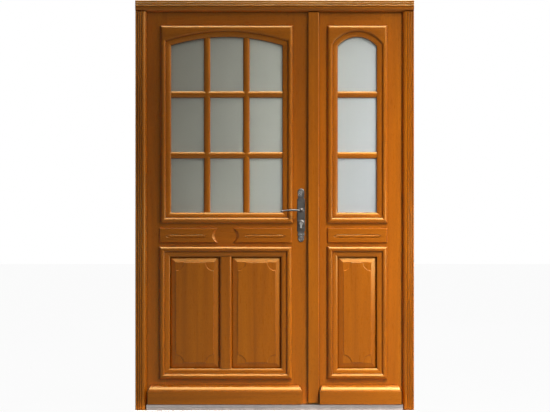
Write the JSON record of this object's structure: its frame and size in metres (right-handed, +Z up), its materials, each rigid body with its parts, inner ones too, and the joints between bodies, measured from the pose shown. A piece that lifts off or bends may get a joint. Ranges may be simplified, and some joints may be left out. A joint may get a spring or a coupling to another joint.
{
  "type": "entrance door with sidelight",
  "caption": "wooden entrance door: an arched glazed leaf that swings in on hinges, a narrow fixed leaf with arched glazing beside it, lever handles, raised panels and a metal sill",
  "frame": {"origin": "middle of the threshold's underside, where it rests on the floor", "axes": "+X to the right seen from outside, +Y into the house, +Z up"},
  "size_m": [1.49, 0.1602, 2.2],
  "materials": {
    "varnished_wood": "semi-gloss varnished softwood, honey brown",
    "frosted_glass": "double glazing, satin frosted",
    "spacer_bar": "mill finish spacer between the panes",
    "dark_iron": "dark grey patinated iron",
    "lock_steel": "zinc plated steel",
    "nickel": "satin nickel",
    "hinge_steel": "bronzed steel hinges",
    "sill_aluminium": "anodised aluminium threshold"
  },
  "bodies": {
    "root": {"batten": "varnished_wood", "door_hinges_frame": "hinge_steel", "flush_bolts": "lock_steel", "frame_head": "varnished_wood", "frame_jamb_left": "varnished_wood", "frame_jamb_right": "varnished_wood", "side_drip_bar": "varnished_wood", "side_frieze": "varnished_wood", "side_glass": "frosted_glass", "side_glass_spacer": "spacer_bar", "side_glazing_bars": "varnished_wood", "side_glazing_bars_inside": "varnished_wood", "side_glazing_beads": "varnished_wood", "side_glazing_head": "varnished_wood", "side_glazing_moulding": "varnished_wood", "side_hinges_frame": "hinge_steel", "side_hinges_leaf": "hinge_steel", "side_panel": "varnished_wood", "side_panel_beads": "varnished_wood", "side_panel_moulding": "varnished_wood", "side_rail_bottom": "varnished_wood", "side_rail_lock": "varnished_wood", "side_rail_top": "varnished_wood", "side_stile_hinge": "varnished_wood", "side_stile_meeting": "varnished_wood", "strike_plate": "lock_steel", "threshold": "sill_aluminium"},
    "door_leaf": {"door_drip_bar": "varnished_wood", "door_frieze_left": "varnished_wood", "door_frieze_right": "varnished_wood", "door_glass": "frosted_glass", "door_glass_spacer": "spacer_bar", "door_glazing_bars": "varnished_wood", "door_glazing_bars_inside": "varnished_wood", "door_glazing_beads": "varnished_wood", "door_glazing_head": "varnished_wood", "door_glazing_moulding": "varnished_wood", "door_hinges_leaf": "hinge_steel", "door_muntin": "varnished_wood", "door_panel_beads": "varnished_wood", "door_panel_left": "varnished_wood", "door_panel_moulding": "varnished_wood", "door_panel_right": "varnished_wood", "door_rail_bottom": "varnished_wood", "door_rail_lock": "varnished_wood", "door_rail_top": "varnished_wood", "door_stile_hinge": "varnished_wood", "door_stile_lock": "varnished_wood", "handle_plate_inside": "dark_iron", "handle_plate_outside": "dark_iron", "lock_case": "lock_steel", "lock_cylinder": "nickel"},
    "handle": {"lever_inside": "dark_iron", "lever_outside": "dark_iron", "spindle": "lock_steel"}
  },
  "joints": [
    {"name": "door_swing", "type": "hinge", "parent": "root", "child": "door_leaf", "pos_m": [-0.7005, 0.044, 1.095], "axis": [0, 0, 1], "range_deg": [0, 100]},
    {"name": "handle_turn", "type": "hinge", "parent": "door_leaf", "child": "handle", "pos_m": [0.142, 0.0135, 1.076], "axis": [0, -1, 0], "range_deg": [0, 40], "stiffness_Nm_per_rad": 1.5, "springref_deg": -17.19}
  ]
}
